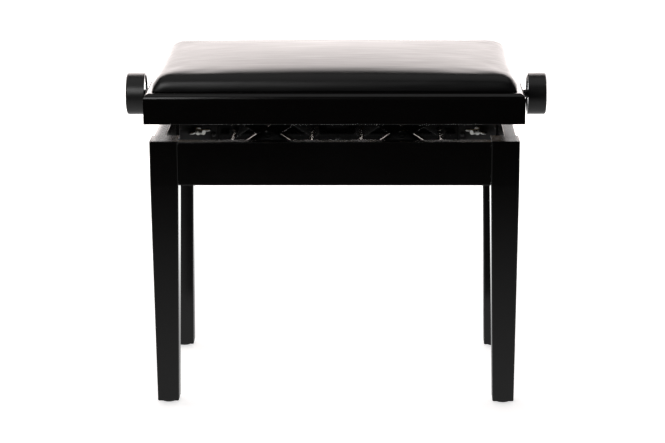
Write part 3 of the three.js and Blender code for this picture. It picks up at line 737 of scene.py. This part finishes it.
def thread_mesh(axis, centre, start, end, radius, depth, pitch, starts, hand, steps):
    """A bar with a real thread from start to end along an axis. hand is 1 for a right hand thread."""
    lead = pitch * starts
    turns = math.ceil((end - start) / lead) + 2
    flank, crest = FLANK_SHARE * pitch, CREST_SHARE * pitch
    chain = []
    for i in range(starts):
        base = start - lead + i * pitch
        chain += [(base, radius - depth), (base + flank, radius), (base + flank + crest, radius),
                  (base + 2 * flank + crest, radius - depth)]
    chain.append((start, radius - depth))
    bm = turned_mesh(chain, centre, axis, steps * turns, turns=hand * turns, advance=lead / steps)
    direction = unit(axis)
    for place, normal in ((start, -direction), (end, direction)):
        rims = cut_off(bm, Vector(centre) + direction * place, normal)
    ops.holes_fill(bm, edges=rims, sides=0)
    return bm


def wing_mesh(start):
    """Wing nut along X from start: a tapered hub and two rounded ears."""
    hub_profile = [(start, 0), (start, WING_HUB_RADIUS),
                   (start + WING_HUB_HEIGHT, WING_HUB_RADIUS * WING_HUB_TAPER), (start + WING_HUB_HEIGHT, 0)]
    hub = turned_mesh(hub_profile, (0, 0, 0), 0)
    round_off(hub, sharp_edges(hub, 40), WING_HUB_EDGE, 2)
    ears = []
    for side in (-1, 1):
        ear = bmesh.new()
        for radius, along, out in ((WING_TIP, start + WING_RISE - WING_TIP, WING_REACH - WING_TIP),
                                   (WING_ROOT, start + WING_ROOT, WING_HUB_RADIUS - WING_ROOT)):
            for level in (-WING_THICKNESS / 2, WING_THICKNESS / 2):
                ring = ops.create_circle(ear, cap_ends=False, segments=HOLE_SEGMENTS, radius=radius)["verts"]
                ops.translate(ear, verts=ring, vec=(along, side * out, level))
        ops.convex_hull(ear, input=ear.verts)
        loose = [v for v in ear.verts if not v.link_faces]
        ops.delete(ear, geom=loose, context="VERTS")
        ops.dissolve_limit(ear, angle_limit=math.radians(1), verts=ear.verts, edges=ear.edges)
        round_off(ear, sharp_edges(ear, 60), WING_EDGE)
        ears.append(ear)
    return joined(hub, *ears)


def make_corner_fittings():
    """Pressed corner brackets, each with a bolt into its leg and a wing nut."""
    for index, corner in enumerate(CORNERS):
        softened("corner_bracket_" + corner, "steel_corner_bracket_" + corner, matt_steel, SHEET_EDGE)
        node = "wing_bolt_" + corner
        low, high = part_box(node)
        turn = math.radians((45, 135, -135, -45)[index])
        inner = Vector([min(ends, key=abs) for ends in zip(*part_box("leg_" + corner))])
        inner.z = (low.z + high.z) / 2
        direction = Vector((math.cos(turn), math.sin(turn), 0))
        places = [(p - inner).dot(direction) for p in points_of(node)]
        start, end = min(places), max(places)
        levels = [p.z for p, place in zip(points_of(node), places) if place > end - NEAR]
        radius = (max(levels) - min(levels)) / 2
        shaft = thread_mesh(0, (0, 0, 0), start, end, radius, BOLT_THREAD_DEPTH, BOLT_THREAD_PITCH, 1, 1,
                            BOLT_THREAD_STEPS)
        bm = joined(shaft, wing_mesh(end - BOLT_STICK_OUT))
        place = Matrix.Translation(inner) @ Matrix.Rotation(turn, 4, "Z")
        ops.transform(bm, matrix=place, verts=bm.verts)
        finish_piece(bm, "zinc_" + node, zinc_along[2], [node])


# Spindle, bushes and knobs

def make_spindle():
    """Plain journals at the ends, and a right and a left hand thread that drive the nuts apart or together."""
    node = "spindle"
    low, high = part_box(node)
    centre = Vector((0, 0, (low.z + high.z) / 2))
    radius = (high.z - low.z) / 2
    end_low, end_high = slice_box(node, 0, high.x)
    journal = (end_high.z - end_low.z) / 2
    shoulder = max(abs(p.x) for p in points_of(node) if off_axis(p, centre) > radius - NEAR)
    parts = [rod_mesh(0, radius, -THREAD_FROM, THREAD_FROM, centre)]
    for side in (-1, 1):
        first, last = sorted((side * THREAD_FROM, side * THREAD_TO))
        parts.append(thread_mesh(0, centre, first, last, radius, THREAD_DEPTH, THREAD_PITCH, THREAD_STARTS,
                                 side, THREAD_STEPS))
        first, last = sorted((side * THREAD_TO, side * shoulder))
        parts.append(rod_mesh(0, radius, first, last, centre, SPINDLE_CHAMFER))
        first, last = sorted((side * (shoulder - SPINDLE_CHAMFER), side * high.x))
        parts.append(rod_mesh(0, journal, first, last, centre, SPINDLE_CHAMFER))
    finish_piece(joined(*parts), "zinc_spindle", zinc_along[0], [node])


def make_bush(side):
    """Flanged nylon bush in the side rail."""
    node = "bush_" + side
    sign = 1 if side == "right" else -1
    low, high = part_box(node)
    centre = (low + high) / 2
    inner, outer = reaches(node, 0)
    end_low, end_high = slice_box(node, 0, sign * outer)
    body, flange = (end_high.z - end_low.z) / 2, (high.z - low.z) / 2
    bore = min(off_axis(p, centre) for p in points_of(node))
    flange_end = min(abs(p.x) for p in points_of(node) if abs(p.x) > inner + SMALL_STEP)
    edge = BUSH_EDGE
    profile = [(inner, bore), *arc(inner + edge, flange - edge, edge, 180, 90, 3), (flange_end, flange),
               (flange_end, body), *arc(outer - edge, body - edge, edge, 90, 0, 3), (outer, bore),
               (inner, bore)]
    profile = [(sign * along, radius) for along, radius in profile]
    bm = turned_mesh(profile, Vector((0, centre.y, centre.z)), 0, BUSH_STEPS)
    finish_piece(bm, "nylon_" + node, nylon, [node])


def make_knob(side):
    """Drum knob: a slightly dished face, a rounded rim, and a shallow recess round the hub at the back."""
    node = "knob_" + side
    sign = 1 if side == "right" else -1
    low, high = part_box(node)
    centre = Vector((0, (low.y + high.y) / 2, (low.z + high.z) / 2))
    radius = (high.z - low.z) / 2
    hub_end, outer = reaches(node, 0)
    hub_low, hub_high = slice_box(node, 0, sign * hub_end)
    hub = (hub_high.z - hub_low.z) / 2
    back = min(abs(p.x) for p in points_of(node) if off_axis(p, centre) > radius - NEAR)
    bore = min(off_axis(p, centre) for p in points_of(node) if abs(abs(p.x) - hub_end) < NEAR)
    edge, web = KNOB_BACK_EDGE, back + KNOB_RECESS
    lip = radius - KNOB_LIP
    bore_end = outer - KNOB_BORE_COVER
    profile = [(outer - KNOB_DISH, 0), (outer - KNOB_DISH, radius * KNOB_DISH_SHARE),
               (outer - KNOB_FACE_FALL, radius * KNOB_FACE_SHARE),
               *arc(outer - KNOB_RIM, radius - KNOB_RIM, KNOB_RIM, 0, 90, 8),
               *arc(back + edge, radius - edge, edge, 90, 180, 3),
               (back, lip), (web, lip - KNOB_DRAFT), (web, hub + edge), (web - edge, hub),
               *arc(hub_end + edge, hub - edge, edge, 90, 180, 3), (hub_end, bore), (bore_end, bore),
               (bore_end, 0)]
    profile = [(sign * along, distance) for along, distance in profile]
    bm = turned_mesh(profile, centre, 0, KNOB_STEPS)
    finish_piece(bm, "moulded_" + node, knob_plastic, [node])


# Screws

def screw_master():
    """Pan head with a cross recess, standing on the XY plane."""
    turns = [math.pi / 2 * i / DOME_STEPS for i in range(DOME_STEPS + 1)]
    dome = [(SCREW_HEIGHT * math.cos(t) ** SCREW_DOME_POWER, SCREW_RADIUS * math.sin(t)) for t in turns]
    head = turned_mesh(dome + [(0, 0)], (0, 0, 0), 2)
    for x, y in ((SCREW_CROSS_REACH, SCREW_CROSS_HALF), (SCREW_CROSS_HALF, SCREW_CROSS_REACH)):
        slot = box_mesh(Vector((-x, -y, SCREW_CROSS_FLOOR)), Vector((x, y, SCREW_HEIGHT + OVERRUN)))
        head = cut(head, slot)
    return head


def make_screws(name, places, body):
    """Screw heads at the given places, each a point and the direction that its head faces."""
    mesh = mesh_of(screw_master(), "screw")
    whole = bmesh.new()
    for index, (point, facing) in enumerate(places):
        before = len(whole.verts)
        whole.from_mesh(mesh)
        whole.verts.ensure_lookup_table()
        turn = Vector((0, 0, 1)).rotation_difference(facing).to_matrix().to_4x4()
        twist = Matrix.Rotation(math.radians(SCREW_FIRST_TURN + SCREW_NEXT_TURN * index), 4, "Z")
        ops.transform(whole, matrix=Matrix.Translation(point) @ turn @ twist, verts=whole.verts[before:])
    bpy.data.meshes.remove(mesh)
    finish_piece(whole, name, coated_steel, body=body, weighted=False)


def add_screws():
    """Screws through the lower rails into the aprons, through the upper rails into the board, and through the
    corner plates' flanges."""
    web_places, flange_places, bracket_places = [], [], []
    for end, sign in (("front", -1), ("rear", 1)):
        web, flange = reaches("base_rail_" + end, 1)[1], reaches("upper_rail_" + end, 1)[0]
        level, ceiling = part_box("base_rail_" + end)[0].z + RAIL_SCREW_LEVEL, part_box("upper_rail_" + end)[1].z
        for share in (-1, 0, 1):
            place = Vector((share * abs(pivot_of["cross_left"].x), sign * (web - RAIL_SHEET), level))
            web_places.append((place, Vector((0, -sign, 0))))
        for x in FLANGE_SCREW_PLACES:
            place = Vector((x * MM, sign * (flange + FLANGE_SCREW_REACH), ceiling - RAIL_SHEET))
            flange_places.append((place, Vector((0, 0, -1))))
    for corner in CORNERS:
        node = "corner_bracket_" + corner
        low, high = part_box(node)
        signs = [-1 if edge < 0 else 1 for edge in low.xy]
        for z in (low.z + BRACKET_SCREW_LEVEL, high.z - BRACKET_SCREW_LEVEL):
            for axis in (0, 1):
                place = Vector((0, 0, z))
                place[axis] = signs[axis] * (reaches(node, axis)[1] - BRACKET_SHEET)
                place[1 - axis] = signs[1 - axis] * (reaches(node, 1 - axis)[0] + BRACKET_SCREW_REACH)
                bracket_places.append((place, unit(axis) * -signs[axis]))
    make_screws("black_screws_base_rails", web_places, "base")
    make_screws("black_screws_upper_rails", flange_places, "seat")
    make_screws("black_screws_corner_plates", bracket_places, "base")


# Cushion

def rolled(share):
    """Height of the cushion's full quarter round at a share of its reach."""
    return (1 - (1 - min(share, 1)) ** CUSHION_FULLNESS) ** (1 / CUSHION_FULLNESS)


def cushion_start():
    """Crowned pillow in the cushion's place. It rolls down to the frame all round, its sides pull in between
    its corners, and it runs on below the foot, where it is cut off last."""
    low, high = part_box("cushion")
    centre, half = (low + high) / 2, (high - low) / 2
    half.x += CUSHION_OUTSET
    full = high.z - low.z - CUSHION_SHOULDER
    bm = bmesh.new()
    ops.create_grid(bm, x_segments=CUSHION_GRID[0], y_segments=CUSHION_GRID[1], size=1)
    for vert in bm.verts:
        across, along = (math.sin(math.pi / 2 * place) for place in vert.co.xy)
        side_roll = CUSHION_SIDE_ROLL + (CUSHION_MIDDLE_ROLL - CUSHION_SIDE_ROLL) * (1 - across ** 2)
        rise = (rolled(half.x * (1 - abs(across)) / CUSHION_END_ROLL)
                * rolled(half.y * (1 - abs(along)) / side_roll))
        crown = CUSHION_SHOULDER + full * (1 - across ** 2) * (1 - along ** 2)
        vert.co = (centre.x + across * (half.x - CUSHION_PULL * (1 - along ** 2)),
                   centre.y + along * (half.y - CUSHION_PULL * (1 - across ** 2)), low.z + rise * crown)
    rim = [e for e in bm.edges if e.is_boundary]
    for vert in made_verts(ops.extrude_edge_only(bm, edges=rim)):
        vert.co = (centre.x + (vert.co.x - centre.x) * (1 - CUSHION_TUCK / half.x),
                   centre.y + (vert.co.y - centre.y) * (1 - CUSHION_TUCK / half.y), vert.co.z - CUSHION_SKIRT)
    ops.holes_fill(bm, edges=[e for e in bm.edges if e.is_boundary], sides=0)
    ops.recalc_face_normals(bm, faces=bm.faces)
    return bm


def make_cushion():
    """Foam cushion in a tight vinyl cover: a pillow, remeshed evenly, softened, and swelled as cloth."""
    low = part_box("cushion")[0]
    piece = linked("cushion_vinyl", mesh_of(cushion_start(), "cushion_vinyl"))
    remesh = piece.modifiers.new("even", "REMESH")
    remesh.mode = "VOXEL"
    remesh.voxel_size = CUSHION_VOXEL
    piece.data = applied(piece)
    piece.modifiers.clear()
    soften(piece, low.z, CUSHION_SOFTENING)
    for vert in piece.data.vertices:
        vert.co -= vert.normal * CUSHION_SWELL
    start = [vert.co.copy() for vert in piece.data.vertices]
    swell(piece, low.z)
    for vert, before in zip(piece.data.vertices, start):
        move = vert.co - before
        if move.length > CUSHION_SWELL:
            vert.co = before + move * (CUSHION_SWELL / move.length)
    soften(piece, low.z, CUSHION_LAST_SOFTENING)
    trim(piece, low.z)
    smooth = piece.modifiers.new("smooth", "SUBSURF")
    smooth.levels = 1
    smooth.render_levels = 1
    piece.data.materials.clear()
    piece.data.materials.append(vinyl)
    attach(piece, body_of["cushion"])
    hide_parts("cushion")


def soften(piece, foot, passes):
    """Relaxes the skin above the foot, as foam rounds off under a tight cover."""
    bm = bmesh.new()
    bm.from_mesh(piece.data)
    free = [v for v in bm.verts if v.co.z > foot + MICRON]
    for _ in range(passes):
        ops.smooth_vert(bm, verts=free, factor=0.5, use_axis_x=True, use_axis_y=True, use_axis_z=True)
    bm.to_mesh(piece.data)
    bm.free()


def trim(piece, foot):
    """Cuts the skirt off at the frame, leaving a flat foot with a sharp rim."""
    bm = bmesh.new()
    bm.from_mesh(piece.data)
    crease = bm.edges.layers.float.new("crease_edge")
    rim = cut_off(bm, (0, 0, foot), (0, 0, -1))
    for edge in rim:
        edge[crease] = 1.0
    ops.holes_fill(bm, edges=rim, sides=0)
    ops.recalc_face_normals(bm, faces=bm.faces)
    for face in bm.faces:
        face.smooth = True
    bm.to_mesh(piece.data)
    bm.free()


def applied(piece):
    """The piece's mesh with its modifiers applied."""
    depsgraph = bpy.context.evaluated_depsgraph_get()
    return bpy.data.meshes.new_from_object(piece.evaluated_get(depsgraph))


def swell(piece, foot):
    """Swells the cover over its stuffing, held at its foot."""
    held = piece.vertex_groups.new(name="held")
    feet = [v.index for v in piece.data.vertices if v.co.z < foot + CUSHION_HELD]
    held.add(feet, 1.0, "REPLACE")
    cloth = piece.modifiers.new("stuffing", "CLOTH")
    settings = cloth.settings
    settings.use_pressure = True
    settings.uniform_pressure_force = CLOTH_PRESSURE
    settings.vertex_group_mass = "held"
    settings.effector_weights.gravity = 0.0
    settings.tension_stiffness = CLOTH_STIFFNESS
    settings.compression_stiffness = CLOTH_STIFFNESS
    settings.bending_stiffness = CLOTH_BENDING
    cloth.collision_settings.use_collision = False
    cloth.point_cache.frame_start = 1
    cloth.point_cache.frame_end = CLOTH_FRAMES
    for step in range(1, CLOTH_FRAMES + 1):
        scene.frame_set(step)
    mesh = applied(piece)
    piece.modifiers.clear()
    piece.data = mesh
    scene.frame_set(1)


# Studio

def make_floor():
    """Pale floor that runs out to the horizon. It shows white and keeps a faint shadow. In reflections it is a
    painted glow, dark in front of the bench and bright behind it, and in bounce light it fades to a painted shade
    in front."""
    bm = bmesh.new()
    ops.create_grid(bm, x_segments=1, y_segments=1, size=FLOOR_REACH)
    mesh = mesh_of(bm, "floor")
    floor = linked("floor", mesh)
    material, add, place = blank("pale_floor")
    path = add("LightPath")
    depth = add("SeparateXYZ", {"Vector": place}).outputs["Y"]
    # Painted shade and painted reflection: the floor fades to dark towards the front of the bench, in bounce light
    # and in reflections.
    painted_fade_ahead = add("MapRange", {
        "Value": depth, "From Min": -1.7, "From Max": 0.1, "To Min": 0.01, "To Max": 0.5},
        interpolation_type="SMOOTHSTEP")
    # Painted reflection: behind the bench the floor glows bright, and this shows only in reflections.
    behind = add("MapRange", {
        "Value": depth, "From Min": 0.1, "From Max": 1.2, "To Max": 1.6}, interpolation_type="SMOOTHSTEP")
    painted_glow_by_depth = add("Math", {0: painted_fade_ahead, 1: behind}, operation="ADD")
    bounce_share_with_painted_shade = add("Math", {0: path.outputs["Is Diffuse Ray"], 1: painted_fade_ahead}, operation="MULTIPLY")
    share = add("Math", {0: path.outputs["Is Camera Ray"], 1: 0.75, 2: bounce_share_with_painted_shade}, operation="MULTIPLY_ADD")
    seen = add("Math", {
        0: path.outputs["Is Glossy Ray"], 1: path.outputs["Is Transmission Ray"]}, operation="MAXIMUM")
    # Painted reflection: in mirrors the floor is only this glow and is not lit by the lamps.
    painted_reflection_glow = add("Math", {0: seen, 1: painted_glow_by_depth}, operation="MULTIPLY")
    far = add("MapRange", {"Value": depth, "From Min": 0.6, "From Max": 2.2, "To Min": 0.66, "To Max": 1.05})
    strength = add("Math", {0: path.outputs["Is Camera Ray"], 1: far, 2: painted_reflection_glow}, operation="MULTIPLY_ADD")
    paint = add("CombineColor", {"Red": share, "Green": share, "Blue": share})
    paper = add("BsdfDiffuse", {"Color": paint})
    glow = add("Emission", {"Strength": strength})
    both = add("AddShader", {0: paper, 1: glow})
    add("OutputMaterial", {"Surface": both})
    mesh.materials.append(material)


def make_world():
    """Pale studio: white behind the bench, dim overhead and dark in front, behind the camera."""
    world = bpy.data.worlds.new("studio")
    scene.world = world
    world.use_nodes = True
    world.node_tree.nodes.clear()
    add = partial(add_node, world.node_tree)
    path = add("LightPath")
    direction = add("SeparateXYZ", {"Vector": add("TexCoord").outputs["Generated"]})
    behind = add("MapRange", {
        "Value": direction.outputs["Y"], "From Min": -0.25, "From Max": 0.45, "To Min": 0.03, "To Max": 1.0},
        interpolation_type="SMOOTHSTEP")
    overhead = add("MapRange", {
        "Value": direction.outputs["Z"], "From Min": 0.5, "From Max": 0.75, "To Min": 1.0, "To Max": 0.05},
        interpolation_type="SMOOTHSTEP")
    mirrored = add("Math", {0: behind, 1: overhead}, operation="MULTIPLY")
    seen = add("Math", {
        0: path.outputs["Is Glossy Ray"], 1: path.outputs["Is Transmission Ray"]}, operation="MAXIMUM")
    dimmed = add("Math", {0: mirrored, 1: 0.6}, operation="MULTIPLY")
    soft = add("Mix", {0: seen, 2: dimmed, 3: mirrored}, data_type="FLOAT")
    strength = add("Mix", {0: path.outputs["Is Camera Ray"], 2: soft, 3: 1.0}, data_type="FLOAT")
    light = add("Background", {"Strength": strength})
    add("OutputWorld", {"Surface": light})


def add_softbox(name, place, target, width, height, radiance, colour):
    """Flat soft light of a given radiance, facing its target, that the camera doesn't see."""
    data = bpy.data.lights.new(name, "AREA")
    data.shape = "RECTANGLE"
    data.size = width
    data.size_y = height
    data.energy = radiance * math.pi * width * height
    data.color = linear(colour)[:3]
    lamp = linked(name, data)
    lamp.location = place
    lamp.rotation_euler = (Vector(target) - Vector(place)).to_track_quat("-Z", "Y").to_euler()
    lamp.visible_camera = False


def light_studio():
    """Broad lights behind and beside the bench, a dim one overhead and a small one at the front left."""
    seat = Vector((0, 0, 0.45))
    add_softbox("backdrop_light", (0, 2.3, 1.15), (0, 0, 1.15), 3.6, 2.3, 2.6, "#fff4f1")
    add_softbox("backdrop_light_left", (-2.6, 1.3, 1.15), (0, 0, 1.15), 2.4, 2.3, 3.4, "#fff4f1")
    add_softbox("backdrop_light_right", (2.6, 1.3, 1.15), (0, 0, 1.15), 2.4, 2.3, 1.8, "#fff4f1")
    add_softbox("overhead_light", (0, -0.3, 2.6), seat, 2.6, 2.2, 0.4, "#ffffff")
    add_softbox("front_left_light", (-0.72, -1.8, 1.46), seat, 0.64, 1.0, 4.2, "#ffffff")


def make_camera():
    """The camera at the photograph's place and angle."""
    data = bpy.data.cameras.new("camera")
    data.sensor_width = SENSOR
    data.lens = FOCAL_PIXELS / PHOTO_WIDTH * SENSOR
    camera = linked("camera", data)
    heading = Matrix.Rotation(CAMERA_YAW, 4, "Z") @ Matrix.Rotation(math.pi / 2 + CAMERA_PITCH, 4, "X")
    camera.matrix_world = Matrix.Translation(CAMERA_PLACE) @ heading @ Matrix.Rotation(CAMERA_ROLL, 4, "Z")
    scene.camera = camera


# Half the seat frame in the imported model, where its mitres meet
cad_seat_half = (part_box("seat_rail_front")[1].x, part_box("seat_rail_right")[1].y + SMALL_STEP)

make_camera()
for corner in CORNERS:
    make_leg(corner)
    make_glide(corner)
for side in SIDES:
    make_apron(side)
    make_seat_rail(side)
softened("seat_board", "birch_seat_board", plywood, BOARD_EDGE)
for corner in CORNERS:
    softened("seat_block_" + corner, "birch_block_" + corner, plywood, BOARD_EDGE)
for node in ("base_rail_front", "base_rail_rear", "upper_rail_front", "upper_rail_rear"):
    softened(node, "steel_" + node, coated_steel, SHEET_EDGE)
make_corner_fittings()
for side in ("left", "right"):
    make_arms(side)
    for stem in ("lower_fixed_rod_", "lower_sliding_rod_"):
        make_rod(stem + side)
    for stem in ("nut_bar_", "bearing_bar_"):
        make_cross_bar(stem + side)
    make_bush(side)
    make_knob(side)
make_spindle()
add_screws()
make_cushion()
make_floor()
make_world()
light_studio()

scene.view_settings.view_transform = "Standard"
